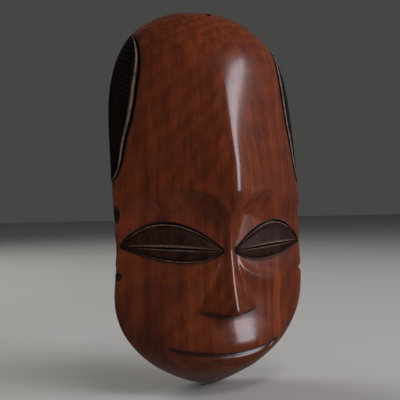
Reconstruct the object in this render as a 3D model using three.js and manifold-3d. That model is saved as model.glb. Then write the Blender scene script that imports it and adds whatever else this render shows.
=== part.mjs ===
// A carved wooden wall mask: a long oval face with a keeled forehead, coffee-bean eyes, a wide
// low nose and a closed mouth, hollowed out behind, and hung by a small hole under its crown.
// Millimetres, +Z up, the face looks along -Y and the back rim lies in one plane.
import * as THREE from "three";
import { mergeVertices } from "three/addons/utils/BufferGeometryUtils.js";
import Module from "manifold-3d";

const wasm = await Module();
wasm.setup();

// ---- driving dimensions -------------------------------------------------------------------
const CROWN = 152.2; // heights are measured from the middle of the face
const CHIN = -149.7;
const HALF_WIDTH = 81.5;
const SHOULDER = 8.5; // above this height the outline closes in to the crown
const JAW = -71; // below this height it closes in to the chin
// A high "full" keeps the outline wide for longer, and a high "round" makes its end blunter.
const CROWN_OVAL = { full: 4.25, round: 2.02 };
const CHIN_OVAL = { full: 2.29, round: 1.3 };
const WAIST = { height: -36, reach: 22, depth: 2.2 }; // the outline draws in beside the ears
const GAP = 0.35; // clearance round every inlaid piece
const BED = 1; // clearance under it
const RIM_WIDTH = 10; // flat wood left round the hollow, on the wall plane
const WALL = { leastInset: 1, insetShare: 0.5, curve: 1.6, endShare: 0.55 };
const HOLLOW = { full: 2.2, round: 0.6 };
const CORE_SHARE = 0.55; // where the core of the block lies, as a share of the half width

const BROW = { bridge: -18.2, rise: 26, spread: 13, drop: 26, fadeFrom: 22, fadeTo: 52 };
const CREST = { x: 30, spread: 15, above: 1.5, height: 1.3, up: 5, down: 3.5 };
const SOCKET = { x: 15, z: -13, spreadX: 9, spreadZ: 10, depth: 3 };
const FOLD = { top: -48, drop: 18, from: 6, spread: 18, height: 1.8, above: 4, below: 10 };
const NOSE = { base: -90, wingLift: 5, wing: 25.6, top: -12, ridgeRound: 1.5, underside: 3,
  sideCurve: 1.1, baseCurve: 1.6 };
const MOUTH = { z: -118, cornerLift: 6, halfWidth: 46.8, depth: 4.5, lip: 10, lineDepth: 1.2 };

const EYE = { inner: 5.4, outer: 77, innerZ: -39.9, outerZ: -35.4 };
const UPPER_LID = { arch: 17.4, peak: 0.56, lift: 3, side: 1 };
const LOWER_LID = { arch: 9.5, peak: 0.42, lift: 1.8, side: -1 };
const LID = { rim: 0.6, sink: 4, tipSink: 1.5, tip: 0.5, fullness: 1.9, swell: 1.5 };

const PANEL = { low: 14, high: 128, rear: 0.62, slant: 55, lift: 0.9, groove: 0.9, sink: 4.5, cuts: 27 };
const PANEL_MARGIN = { front: 0.01, rear: 0.02, frontGrow: 0.04, rearGrow: 0.07 };
const EAR = { low: -54, high: -17, middle: 1.46, reach: 0.32, lift: 1.2, bowl: 1.8, sink: 3.5 };
const NOTCHES = [
  { height: -12, girth: 1.05, size: [3.5, 5, 6.5], tilt: 0 },
  { height: -58, girth: 1.05, size: [3.2, 5.5, 2.6], tilt: 0.6 },
];

const BORE = { radius: 2, depth: 15, height: 140, tilt: Math.PI / 6, length: 60, sides: 20 };

const WOOD = new THREE.MeshStandardMaterial({ color: 0x7a3a1c, roughness: 0.34 });
const STAINED_LID = new THREE.MeshStandardMaterial({ color: 0x2c1a12, roughness: 0.45 });
const STAINED_PANEL = new THREE.MeshStandardMaterial({ color: 0x1d130e, roughness: 0.5 });
const EAR_WOOD = new THREE.MeshStandardMaterial({ color: 0x5f2b16, roughness: 0.4 });

// ---- small mathematics --------------------------------------------------------------------
const { lerp, smoothstep, clamp } = THREE.MathUtils;
const bell = (distance, reach) => Math.exp(-((distance / reach) ** 2));

// A smooth curve that passes through [height, value] stations and never overshoots them.
function profile(stations) {
  const spans = stations.slice(1).map(([z, v], i) => {
    const [z0, v0] = stations[i];
    return { width: z - z0, slope: (v - v0) / (z - z0) };
  });
  const slopes = stations.map((_, i) => {
    const before = spans[i - 1];
    const after = spans[i];
    if (!before) return after.slope;
    if (!after) return before.slope;
    if (before.slope * after.slope <= 0) return 0;
    const a = 2 * after.width + before.width;
    const b = after.width + 2 * before.width;
    return (a + b) / (a / before.slope + b / after.slope);
  });
  return (height) => {
    const z = clamp(height, stations[0][0], stations.at(-1)[0]);
    const i = Math.min(stations.filter(([s]) => s <= z).length, spans.length) - 1;
    const { width } = spans[i];
    const t = (z - stations[i][0]) / width;
    return (
      (1 + 2 * t) * (1 - t) ** 2 * stations[i][1] +
      t * (1 - t) ** 2 * width * slopes[i] +
      t * t * (3 - 2 * t) * stations[i + 1][1] +
      t * t * (t - 1) * width * slopes[i + 1]
    );
  };
}

// ---- the skin of the mask -----------------------------------------------------------------
// Depths are measured forward from the wall plane. The edge line is where the face turns into
// the side wall, and the keel and face lines are its middle, without the nose.
const edgeDepth = profile([
  [-150, 16.4], [-131, 21], [-114, 26], [-81, 28.5], [-49, 31], [-17, 29.5],
  [15, 25.5], [47, 20.5], [80, 15.4], [113, 13.4], [152, 6.2],
]);
const keelDepth = profile([
  [-30, 52], [-18.2, 62], [-5.5, 69.2], [5.5, 72.2], [20, 71.3], [55, 63.2],
  [97.5, 53], [118, 46.5], [136, 36.5], [148, 24], [152, 7.2],
]);
const faceDepth = profile([
  [-150, 18.4], [-140, 35], [-131, 49.5], [-124, 56], [-118, 60.5], [-112, 62.5],
  [-103, 61.3], [-92, 59], [-70, 58], [-38, 57.5],
]);
const ridgeDepth = profile([[-84, 69.6], [-65, 64], [-54, 62], [-39, 59.8], [-28, 60.1], [-18.2, 62]]);
const noseHalfWidth = profile([[-92, 27], [-76, 20], [-65, 14], [-54, 9], [-39, 4.5], [-20, 3]]);

// Cross-sections run from the middle to the edge as (1 - s^a)^b: a near 1 keeps a keel.
const headCurve = {
  a: profile([[-20, 1.05], [35, 1.14], [80, 1.32], [115, 1.7], [152, 2]]),
  b: profile([[-20, 0.95], [35, 0.84], [80, 0.7], [115, 0.62], [152, 0.5]]),
  soft: 1.8,
};
const faceCurve = {
  a: profile([[-150, 2.2], [-112, 1.75], [-85, 1.35], [-38, 1.1]]),
  b: profile([[-150, 0.6], [-112, 0.8], [-85, 0.9], [-38, 0.95]]),
  soft: 3,
};

function halfWidth(z) {
  const crown = clamp((z - SHOULDER) / (CROWN - SHOULDER), 0, 1);
  const chin = clamp((JAW - z) / (JAW - CHIN), 0, 1);
  const above = (1 - crown ** CROWN_OVAL.full) ** (1 / CROWN_OVAL.round);
  const below = (1 - chin ** CHIN_OVAL.full) ** (1 / CHIN_OVAL.round);
  const waist = WAIST.depth * bell(z - WAIST.height, WAIST.reach);
  return (HALF_WIDTH - waist) * above * below;
}

function crossSection(x, z, middle, curve) {
  const rounded = (v) => Math.hypot(v, curve.soft) - curve.soft;
  const s = clamp(rounded(x) / Math.max(rounded(halfWidth(z)), 1e-6), 0, 1);
  const edge = edgeDepth(z);
  return edge + (middle - edge) * (1 - s ** curve.a(z)) ** curve.b(z);
}
const forehead = (x, z) => crossSection(x, z, keelDepth(z), headCurve);
const lowerFace = (x, z) => crossSection(x, z, faceDepth(z), faceCurve);

// The two brow lines climb from the bridge of the nose; the sockets fall away below them.
const browLine = (x) => BROW.bridge + BROW.rise * (1 - Math.exp(-Math.abs(x) / BROW.spread));

function browed(x, z) {
  const brow = browLine(x);
  const top = brow + CREST.above;
  const crest = CREST.height * bell(Math.abs(x) - CREST.x, CREST.spread) *
    bell(z - top, z > top ? CREST.up : CREST.down);
  if (z > brow) return forehead(x, z) + crest;
  const fall = clamp((brow - z) / BROW.drop, 0, 1);
  const crisp = 1 - smoothstep(Math.abs(x), BROW.fadeFrom, BROW.fadeTo);
  const share = lerp(1 - smoothstep(fall, 0, 1), (1 - fall) ** 2, crisp);
  const scoop = SOCKET.depth * smoothstep(brow - z, 0, 6) *
    bell(Math.abs(x) - SOCKET.x, SOCKET.spreadX) * bell(z - SOCKET.z, SOCKET.spreadZ);
  return lowerFace(x, z) + (forehead(x, brow) - lowerFace(x, brow)) * share - scoop + crest;
}

// A soft fold of skin under each eye.
function foldHeight(x, z) {
  const out = Math.abs(x);
  const line = FOLD.top - FOLD.drop * (1 - Math.exp(-Math.max(out - FOLD.from, 0) / FOLD.spread));
  const span = smoothstep(out, 4, 12) * (1 - smoothstep(out, 45, 66));
  return FOLD.height * span * bell(z - line, z > line ? FOLD.above : FOLD.below);
}

function noseSkin(x, z) {
  if (z > NOSE.top) return 0;
  const out = Math.hypot(x, NOSE.ridgeRound) - NOSE.ridgeRound;
  const side = clamp(1 - out / noseHalfWidth(z), 0, 1) ** NOSE.sideCurve;
  const base = NOSE.base + NOSE.wingLift * (Math.abs(x) / NOSE.wing) ** NOSE.baseCurve;
  const rise = ridgeDepth(z) - lowerFace(0, z);
  return lowerFace(x, z) + rise * side * smoothstep(z, base, base + NOSE.underside);
}

// How far the closed mouth and the line under the lower lip are cut in.
function mouthCut(x, z) {
  const across = x / MOUTH.halfWidth;
  const taper = Math.sqrt(clamp(1 - across ** 2, 0, 1));
  const slitLine = MOUTH.z + MOUTH.cornerLift * across ** 2;
  const slit = MOUTH.depth * bell(z - slitLine, z > slitLine ? 0.9 : 3);
  const lipLine = slitLine - MOUTH.lip * taper ** 2;
  return taper * (slit + MOUTH.lineDepth * bell(z - lipLine, 1.2));
}

const faceSkin = (x, z) =>
  Math.max(browed(x, z) + foldHeight(x, z), noseSkin(x, z)) - mouthCut(x, z);

// The back rim is the outline drawn in towards the middle: wall runs from 0, the edge line, to 1,
// the rim.
function drawnIn(z, wall) {
  const most = (WALL.insetShare * edgeDepth(z) + WALL.leastInset) / HALF_WIDTH;
  const inset = most * wall ** WALL.curve;
  return { x: 1 - inset, z: 1 - WALL.endShare * inset };
}

// A point on the skin. girth runs 0 to 1 from the middle to the edge line, then to 2 at the rim.
// lift moves it off the skin, away from the core of the block.
function skinPoint(girth, z, lift = 0) {
  const wall = Math.max(girth - 1, 0);
  const reach = halfWidth(z) * Math.sin((Math.min(girth, 1) * Math.PI) / 2);
  const shrink = drawnIn(z, wall);
  const depth = girth <= 1 ? faceSkin(reach, z) : edgeDepth(z) * (1 - wall);
  const outward = new THREE.Vector2(reach * shrink.x - CORE_SHARE * halfWidth(z), depth).normalize();
  return new THREE.Vector3(
    reach * shrink.x + outward.x * lift,
    -(depth + outward.y * lift),
    z * shrink.z,
  );
}

// ---- solids -------------------------------------------------------------------------------
function toSolid(geometry) {
  const bare = geometry.clone();
  bare.deleteAttribute("normal");
  bare.deleteAttribute("uv");
  const merged = mergeVertices(bare, 1e-5);
  return new wasm.Manifold(
    new wasm.Mesh({
      numProp: 3,
      vertProperties: new Float32Array(merged.attributes.position.array),
      triVerts: new Uint32Array(merged.index.array),
    }),
  );
}

// A box of many small faces whose points are moved by place(u, v, w): u across from 0 to 1,
// v up, and w from 0 on its front to 1 on its back.
function moulded({ across, up, deep }, place) {
  const box = new THREE.BoxGeometry(1, 1, 1, across, up, deep);
  const { position } = box.attributes;
  const spot = new THREE.Vector3();
  for (let i = 0; i < position.count; i++) {
    spot.fromBufferAttribute(position, i).addScalar(0.5);
    position.setXYZ(i, ...place(spot.x, spot.y, 1 - spot.z));
  }
  return toSolid(box);
}

// The same piece on the left of the mask.
const mirrored = (place) => (u, v, w) => {
  const spot = place(1 - u, v, w);
  return spot.setX(-spot.x);
};
const onSide = (side, place) => (side > 0 ? place : mirrored(place));
const SIDES = [{ word: "right", side: 1 }, { word: "left", side: -1 }];

// ---- the carved block ---------------------------------------------------------------------
// Rows are closer together where the mouth and the nose need them.
const END_TRIM = 0.4;
const rowHeight = profile([
  [0, CHIN + END_TRIM], [0.06, -144], [0.16, -125], [0.32, -105], [0.37, -92], [0.45, -84],
  [0.57, -46], [0.74, 8], [0.89, 100], [0.96, 143], [1, CROWN - END_TRIM],
]);

const BEHIND_WALL = 3; // the block and its hollow first run this far past the wall plane

function blockPoint(u, v, w) {
  const z = rowHeight(v);
  const x = (2 * u - 1) * halfWidth(z);
  const shrink = drawnIn(z, w);
  const depth = faceSkin(x, z) * (1 - w) - BEHIND_WALL * w;
  return new THREE.Vector3(x * shrink.x, -depth, z * shrink.z);
}

// Everything behind the wall plane, which trims the rim flat.
function behindWall() {
  const slab = new THREE.BoxGeometry(3 * HALF_WIDTH, HALF_WIDTH, 2 * (CROWN - CHIN));
  return toSolid(slab.translate(0, HALF_WIDTH / 2, 0));
}

const hollowDepth = profile([
  [CHIN, 0], [-140, 12], [-120, 28], [-100, 36], [-60, 40], [0, 40], [40, 44], [80, 38],
  [115, 27], [140, 12], [CROWN, 0],
]);
function hollowPoint(u, v, w) {
  const z = lerp(CHIN + END_TRIM, CROWN - END_TRIM, 0.5 - 0.5 * Math.cos(Math.PI * v));
  const share = Math.sin((u - 0.5) * Math.PI);
  const shrink = drawnIn(z, 1);
  const dome = hollowDepth(z) * (1 - Math.abs(share) ** HOLLOW.full) ** HOLLOW.round;
  return new THREE.Vector3(
    share * halfWidth(z) * (shrink.x - RIM_WIDTH / HALF_WIDTH),
    lerp(-dome, BEHIND_WALL, w),
    z * (shrink.z - RIM_WIDTH / CROWN),
  );
}

// The bore runs from the front of the crown back and down into the hollow.
function hangingBore() {
  const bore = new THREE.CylinderGeometry(BORE.radius, BORE.radius, BORE.length, BORE.sides);
  bore.rotateX(-BORE.tilt).translate(0, -BORE.depth, BORE.height);
  return toSolid(bore);
}

// Chisel cuts above and below each ear. A half turn about Z mirrors an ellipsoid to the left.
function earNotch({ height, girth, size, tilt }, side) {
  const cut = new THREE.SphereGeometry(1, 14, 8).scale(...size).rotateY(tilt);
  const spot = skinPoint(girth, height);
  cut.translate(spot.x, spot.y, spot.z);
  if (side > 0) return toSolid(cut);
  return toSolid(cut.rotateZ(Math.PI).translate(0, 2 * spot.y, 0));
}

// ---- eyes ---------------------------------------------------------------------------------
const arch = (t, peak) =>
  (t / peak) ** (peak * LID.fullness) * ((1 - t) / (1 - peak)) ** ((1 - peak) * LID.fullness);

// v runs from the slit between the lids, 0, to the lid's own rim, 1.
function lidPoint(lid, t, v, lift, grow = 0) {
  const x = lerp(EYE.inner - grow, EYE.outer + grow, t);
  const slit = lerp(EYE.innerZ, EYE.outerZ, t) + (lid.side * GAP) / 2;
  const height = lid.arch * arch(t, lid.peak) + LID.tip + 2 * grow;
  const z = slit + lid.side * (height * v - grow);
  return new THREE.Vector3(x, -(faceSkin(x, z) + lift), z);
}

// Each lid swells from its rim to the slit, and is let in deepest at the middle of the eye.
const lidSink = (t) => LID.sink * Math.sqrt(arch(t, 0.5)) + LID.tipSink;
const lidLift = (lid, t, v) => LID.rim + lid.lift * Math.sqrt(arch(t, 0.5)) * (1 - v ** LID.swell);

const lidPlace = (lid) => (u, v, w) => {
  const fromSlit = lid.side > 0 ? v : 1 - v;
  return lidPoint(lid, u, fromSlit, lerp(lidLift(lid, u, fromSlit), -lidSink(u), w));
};
const lidPocket = (lid) => (u, v, w) => {
  const fromSlit = lid.side > 0 ? v : 1 - v;
  return lidPoint(lid, u, fromSlit, lerp(LID.sink, -lidSink(u) - BED, w), GAP);
};

// ---- hair panels --------------------------------------------------------------------------
const panelFront = profile([
  [14, 1], [19, 0.971], [28, 0.937], [39, 0.915], [50, 0.886], [62, 0.852], [78, 0.829],
  [92, 0.826], [104, 0.838], [114, 0.878], [123, 0.947], [128, 1],
]);

// u runs from a panel's front line to its rear one, and its rows climb towards the rear.
function panelPoint(u, v, lift, grow = 0) {
  const level = lerp(PANEL.low - grow, PANEL.high + grow, v);
  const z = level + PANEL.slant * (u - 0.5) * Math.sin(Math.PI * v);
  const front = (Math.asin(Math.min(panelFront(z), 1)) * 2) / Math.PI;
  const upPanel = clamp((z - PANEL.low) / (PANEL.high - PANEL.low), 0, 1);
  const rear = 1 + PANEL.rear * Math.sqrt(Math.sin(Math.PI * upPanel));
  const from = front - PANEL_MARGIN.front - grow * PANEL_MARGIN.frontGrow;
  const to = rear + PANEL_MARGIN.rear + grow * PANEL_MARGIN.rearGrow;
  return skinPoint(lerp(from, to, u), z, lift);
}

// Each second row between the plain rims is a cut.
function panelLift(u, v) {
  const inside = smoothstep(u, 0, 0.2) * (1 - smoothstep(u, 0.85, 1));
  const wave = 0.5 - 0.5 * Math.cos(2 * Math.PI * PANEL.cuts * v);
  return PANEL.lift - PANEL.groove * wave * inside;
}
const panelPlace = (u, v, w) => panelPoint(u, v, lerp(panelLift(u, v), -PANEL.sink, w));
const panelPocket = (u, v, w) => panelPoint(u, v, lerp(PANEL.sink, -PANEL.sink - BED, w), GAP);

// ---- ears ---------------------------------------------------------------------------------
function earPoint(u, v, lift, grow = 0) {
  const z = lerp(EAR.low - grow, EAR.high + grow, v);
  const reach = EAR.reach * Math.sqrt(Math.sin(Math.PI * v)) + 0.03 + grow * 0.05;
  return skinPoint(EAR.middle + (2 * u - 1) * reach, z, lift);
}

// A raised rim round a shallow bowl.
function earPlace(u, v, w) {
  const bowl = EAR.bowl * bell(u - 0.55, 0.28) * bell(v - 0.5, 0.3);
  return earPoint(u, v, lerp(EAR.lift - bowl, -EAR.sink, w));
}
const earPocket = (u, v, w) => earPoint(u, v, lerp(EAR.sink, -EAR.sink - BED, w), GAP);

// ---- the mask -----------------------------------------------------------------------------
const BLOCK_GRID = { across: 28, up: 50, deep: 3 };
const HOLLOW_GRID = { across: 14, up: 20, deep: 1 };
const LID_GRID = { across: 16, up: 3, deep: 1 };
const PANEL_GRID = { across: 4, up: 2 * PANEL.cuts, deep: 1 };
const EAR_GRID = { across: 6, up: 8, deep: 1 };

const inlays = SIDES.flatMap(({ word, side }) => [
  { name: `${word}_upper_eyelid`, side, grid: LID_GRID, material: STAINED_LID,
    place: lidPlace(UPPER_LID), pocket: lidPocket(UPPER_LID) },
  { name: `${word}_lower_eyelid`, side, grid: LID_GRID, material: STAINED_LID,
    place: lidPlace(LOWER_LID), pocket: lidPocket(LOWER_LID) },
  { name: `${word}_hair_panel`, side, grid: PANEL_GRID, material: STAINED_PANEL,
    place: panelPlace, pocket: panelPocket },
  { name: `${word}_ear`, side, grid: EAR_GRID, material: EAR_WOOD,
    place: earPlace, pocket: earPocket },
]);

function carvedBlock() {
  const cuts = [
    behindWall(),
    moulded(HOLLOW_GRID, hollowPoint),
    hangingBore(),
    ...SIDES.flatMap(({ side }) => NOTCHES.map((notch) => earNotch(notch, side))),
    ...inlays.map(({ grid, side, pocket }) => moulded(grid, onSide(side, pocket))),
  ];
  return cuts.reduce((block, cut) => block.subtract(cut), moulded(BLOCK_GRID, blockPoint));
}

function toMesh(solid, name, material) {
  const { vertProperties, triVerts } = solid.getMesh();
  const geometry = new THREE.BufferGeometry();
  geometry.setAttribute("position", new THREE.BufferAttribute(vertProperties, 3));
  geometry.setIndex(new THREE.BufferAttribute(triVerts, 1));
  geometry.computeVertexNormals();
  const mesh = new THREE.Mesh(geometry, material);
  mesh.name = name;
  return mesh;
}

// The mask's origin is the middle of the hanging bore.
const mask = new THREE.Group();
mask.add(toMesh(carvedBlock(), "mask_body", WOOD));
for (const { name, side, grid, material, place } of inlays) {
  mask.add(toMesh(moulded(grid, onSide(side, place)), name, material));
}
mask.position.set(0, BORE.depth, -BORE.height);

export default mask;
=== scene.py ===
"""The look of a carved wooden wall mask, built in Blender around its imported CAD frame.

The skin of the mask is worked out in millimetres, as in the part's own source: x to the right,
depth forward from the wall plane and z up from the middle of the face. Pieces are placed in the
frame, in metres, by to_frame().
"""

import math

import bpy
import numpy as np
from mathutils import Matrix, Vector
from mathutils.kdtree import KDTree


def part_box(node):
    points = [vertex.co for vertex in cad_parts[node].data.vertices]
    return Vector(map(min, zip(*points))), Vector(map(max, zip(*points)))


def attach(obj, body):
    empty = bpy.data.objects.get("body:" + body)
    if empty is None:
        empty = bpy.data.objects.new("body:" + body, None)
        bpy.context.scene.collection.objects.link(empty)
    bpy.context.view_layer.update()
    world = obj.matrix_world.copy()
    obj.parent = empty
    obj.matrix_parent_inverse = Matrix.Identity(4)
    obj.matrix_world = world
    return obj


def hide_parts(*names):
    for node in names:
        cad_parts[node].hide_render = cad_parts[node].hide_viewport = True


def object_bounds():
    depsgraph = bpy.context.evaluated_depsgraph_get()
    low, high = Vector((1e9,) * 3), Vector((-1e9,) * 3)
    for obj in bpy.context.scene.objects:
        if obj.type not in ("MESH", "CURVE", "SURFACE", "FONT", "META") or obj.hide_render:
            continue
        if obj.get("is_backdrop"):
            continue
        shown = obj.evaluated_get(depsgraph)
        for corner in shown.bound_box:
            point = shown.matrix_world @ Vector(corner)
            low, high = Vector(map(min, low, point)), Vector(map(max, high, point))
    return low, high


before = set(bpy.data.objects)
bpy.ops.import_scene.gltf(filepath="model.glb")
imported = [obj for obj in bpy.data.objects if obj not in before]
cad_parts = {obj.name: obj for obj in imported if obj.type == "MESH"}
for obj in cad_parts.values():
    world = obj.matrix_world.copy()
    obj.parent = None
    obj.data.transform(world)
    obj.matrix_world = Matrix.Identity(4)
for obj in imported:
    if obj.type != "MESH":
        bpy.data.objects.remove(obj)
cad_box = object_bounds()

# ---- driving dimensions, in millimetres ------------------------------------------------------
MM = 0.001
CROWN, CHIN, HALF_WIDTH = 152.2, -149.7, 81.5
END_TRIM = 0.4
SHOULDER, CROWN_FULL, CROWN_ROUND = 8.5, 4.25, 2.02
JAW, CHIN_FULL, CHIN_ROUND = -71.0, 2.29, 1.3
WAIST_Z, WAIST_REACH, WAIST_DEPTH = -36.0, 22.0, 2.2
RIM_WIDTH = 10.0
WALL_INSET, WALL_INSET_SHARE, WALL_CURVE, WALL_END_SHARE = 1.0, 0.50, 1.6, 0.55
CORE_SHARE = 0.55  # where the core of the block lies, as a share of the half width

BROW_Z, BROW_RISE, BROW_SPREAD, BROW_DROP = -18.2, 26.0, 13.0, 26.0
CREST_X, CREST_SPREAD, CREST_ABOVE, CREST_HEIGHT = 30.0, 15.0, 1.5, 1.3
CREST_UP, CREST_DOWN = 5.0, 3.5
FOLD_Z, FOLD_DROP, FOLD_FROM, FOLD_SPREAD, FOLD_HEIGHT = -48.0, 18.0, 6.0, 18.0, 1.8
NOSE_Z, NOSE_LIFT, NOSE_WING, NOSE_TOP = -90.0, 5.0, 25.6, -12.0
NOSE_SIDE_CURVE, NOSE_BASE_CURVE, NOSE_FOOT = 1.1, 1.6, 3.0
MOUTH_Z, MOUTH_LIFT, MOUTH_HALF, MOUTH_CUT = -118.0, 6.0, 46.8, 4.5
LIP_DROP, LIP_CUT = 10.0, 1.2

EYE_INNER, EYE_OUTER, EYE_INNER_Z, EYE_OUTER_Z = 5.4, 77.0, -39.9, -35.4
UPPER_ARCH, UPPER_PEAK, UPPER_BULGE = 17.4, 0.56, 3.0
LOWER_ARCH, LOWER_PEAK, LOWER_BULGE = 9.5, 0.42, 1.8
LENS_FULLNESS = 1.9

PANEL_LOW, PANEL_HIGH, PANEL_REAR = 14.0, 128.0, 0.62
EAR_LOW, EAR_HIGH, EAR_MIDDLE, EAR_REACH = -54.0, -17.0, 1.46, 0.32
# Each notch: height, girth, half sizes across, inwards and up, and tilt.
NOTCHES = ((-12.0, 1.05, (3.5, 5.0, 6.5), 0.0), (-58.0, 1.05, (3.2, 5.5, 2.6), 0.6))
BORE_DEPTH, BORE_Z, BORE_RADIUS, BORE_TILT = 15.0, 140.0, 2.0, math.radians(30)
BORE_HALF_LENGTH, BORE_SIDES = 30.0, 48
INLAY_PROUD = 0.35  # how far the lids, panels and ears stand over the skin
CUTTER_PROUD = 5.0  # how far a bed's cutter does

block_low, block_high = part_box("mask_body")
WALL_Y = block_high.y
MIDDLE_Z = block_high.z - (CROWN - END_TRIM) * MM


# ---- small mathematics -------------------------------------------------------------------------
def profile(stations):
    """A smooth curve through (height, value) stations that never overshoots them."""
    z, v = (np.array(column, float) for column in zip(*stations))
    width = np.diff(z)
    slope = np.diff(v) / width
    tangent = np.zeros(len(z))
    tangent[0], tangent[-1] = slope[0], slope[-1]
    for i in range(1, len(z) - 1):
        before, after = slope[i - 1], slope[i]
        if before * after > 0:
            a = 2 * width[i] + width[i - 1]
            b = width[i] + 2 * width[i - 1]
            tangent[i] = (a + b) / (a / before + b / after)

    def value(height):
        q = np.clip(np.asarray(height, float), z[0], z[-1])
        i = np.clip(np.searchsorted(z, q) - 1, 0, len(z) - 2)
        t = (q - z[i]) / width[i]
        return (
            (1 + 2 * t) * (1 - t) ** 2 * v[i]
            + t * (1 - t) ** 2 * width[i] * tangent[i]
            + t * t * (3 - 2 * t) * v[i + 1]
            + t * t * (t - 1) * width[i] * tangent[i + 1]
        )

    return value


def smoothstep(low, high, q):
    t = np.clip((np.asarray(q, float) - low) / (high - low), 0, 1)
    return t * t * (3 - 2 * t)


def bell(distance, reach):
    return np.exp(-((distance / reach) ** 2))


def mix(a, b, t):
    return a + (b - a) * t


# ---- the skin ------------------------------------------------------------------------------------
edge_depth = profile([
    (-150, 16.4), (-131, 21), (-114, 26), (-81, 28.5), (-49, 31), (-17, 29.5),
    (15, 25.5), (47, 20.5), (80, 15.4), (113, 13.4), (152, 6.2),
])
keel_depth = profile([
    (-30, 52), (-18.2, 62), (-5.5, 69.2), (5.5, 72.2), (20, 71.3), (55, 63.2),
    (97.5, 53), (118, 46.5), (136, 36.5), (148, 24), (152, 7.2),
])
face_depth = profile([
    (-150, 18.4), (-140, 35), (-131, 49.5), (-124, 56), (-118, 60.5), (-112, 62.5), (-103, 61.3),
    (-92, 59), (-70, 58), (-38, 57.5),
])
ridge_depth = profile([(-84, 69.6), (-65, 64), (-54, 62), (-39, 59.8), (-28, 60.1), (-18.2, 62)])
nose_half_width = profile([(-92, 27), (-76, 20), (-65, 14), (-54, 9), (-39, 4.5), (-20, 3)])
HEAD_CURVE = (profile([(-20, 1.05), (35, 1.14), (80, 1.32), (115, 1.7), (152, 2)]),
              profile([(-20, 0.95), (35, 0.84), (80, 0.70), (115, 0.62), (152, 0.5)]), 1.8)
FACE_CURVE = (profile([(-150, 2.2), (-112, 1.75), (-85, 1.35), (-38, 1.1)]),
              profile([(-150, 0.6), (-112, 0.8), (-85, 0.9), (-38, 0.95)]), 3.0)


def half_width(z):
    crown = np.clip((z - SHOULDER) / (CROWN - SHOULDER), 0, 1)
    chin = np.clip((JAW - z) / (JAW - CHIN), 0, 1)
    share = (1 - crown**CROWN_FULL) ** (1 / CROWN_ROUND) * (1 - chin**CHIN_FULL) ** (1 / CHIN_ROUND)
    return (HALF_WIDTH - WAIST_DEPTH * bell(z - WAIST_Z, WAIST_REACH)) * share


def cross_section(x, z, middle, curve):
    """From the middle to the edge as (1 - s^a)^b, where a near 1 keeps a keel."""
    a, b, soft = curve
    rounded = np.hypot(x, soft) - soft
    whole = np.maximum(np.hypot(half_width(z), soft) - soft, 1e-6)
    s = np.clip(rounded / whole, 0, 1)
    edge = edge_depth(z)
    return edge + (middle - edge) * (1 - s ** a(z)) ** b(z)


def forehead(x, z):
    return cross_section(x, z, keel_depth(z), HEAD_CURVE)


def lower_face(x, z):
    return cross_section(x, z, face_depth(z), FACE_CURVE)


def brow_line(x):
    return BROW_Z + BROW_RISE * (1 - np.exp(-np.abs(x) / BROW_SPREAD))


def browed(x, z):
    """The forehead above the two brow lines, and the sockets that fall away below them."""
    brow = brow_line(x)
    out = np.abs(x)
    fall = np.clip((brow - z) / BROW_DROP, 0, 1)
    crisp = 1 - smoothstep(22, 52, out)
    share = mix(1 - smoothstep(0, 1, fall), (1 - fall) ** 2, crisp)
    scoop = 3.0 * smoothstep(0, 6, brow - z) * bell(out - 15, 9) * bell(z + 13, 10)
    below = lower_face(x, z) + (forehead(x, brow) - lower_face(x, brow)) * share - scoop
    top = brow + CREST_ABOVE
    crest = CREST_HEIGHT * bell(out - CREST_X, CREST_SPREAD)
    crest = crest * bell(z - top, np.where(z > top, CREST_UP, CREST_DOWN))
    return np.where(z > brow, forehead(x, z), below) + crest


def fold_height(x, z):
    """The soft fold of skin under each eye."""
    out = np.abs(x)
    line = FOLD_Z - FOLD_DROP * (1 - np.exp(-np.maximum(out - FOLD_FROM, 0) / FOLD_SPREAD))
    span = smoothstep(4, 12, out) * (1 - smoothstep(45, 66, out))
    return FOLD_HEIGHT * span * bell(z - line, np.where(z > line, 4.0, 10.0))


def nose_base(x):
    return NOSE_Z + NOSE_LIFT * np.minimum(np.abs(x) / NOSE_WING, 1.3) ** NOSE_BASE_CURVE


def nose_skin(x, z):
    out = np.hypot(x, 1.5) - 1.5
    side = np.clip(1 - out / nose_half_width(z), 0, 1) ** NOSE_SIDE_CURVE
    rise = ridge_depth(z) - lower_face(0 * x, z)
    nose = lower_face(x, z) + rise * side * smoothstep(0, NOSE_FOOT, z - nose_base(x))
    return np.where(z > NOSE_TOP, 0, nose)


def mouth_line(x):
    return MOUTH_Z + MOUTH_LIFT * np.minimum((x / MOUTH_HALF) ** 2, 1.0)


def mouth_cut(x, z):
    """How far the closed mouth and the line under the lower lip are cut in."""
    taper = np.sqrt(np.clip(1 - (x / MOUTH_HALF) ** 2, 0, 1))
    slit_line = mouth_line(x)
    slit = MOUTH_CUT * bell(z - slit_line, np.where(z > slit_line, 0.9, 3.0))
    lip_line = slit_line - LIP_DROP * taper**2
    return taper * (slit + LIP_CUT * bell(z - lip_line, 1.2))


def face_skin(x, z):
    return np.maximum(browed(x, z) + fold_height(x, z), nose_skin(x, z)) - mouth_cut(x, z)


def wall_inset(z):
    return (WALL_INSET_SHARE * edge_depth(z) + WALL_INSET) / HALF_WIDTH


def drawn_in(z, wall):
    """How the outline shrinks from the edge line, wall 0, to the rim, wall 1."""
    share = wall_inset(z) * wall**WALL_CURVE
    return 1 - share, 1 - WALL_END_SHARE * share


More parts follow.
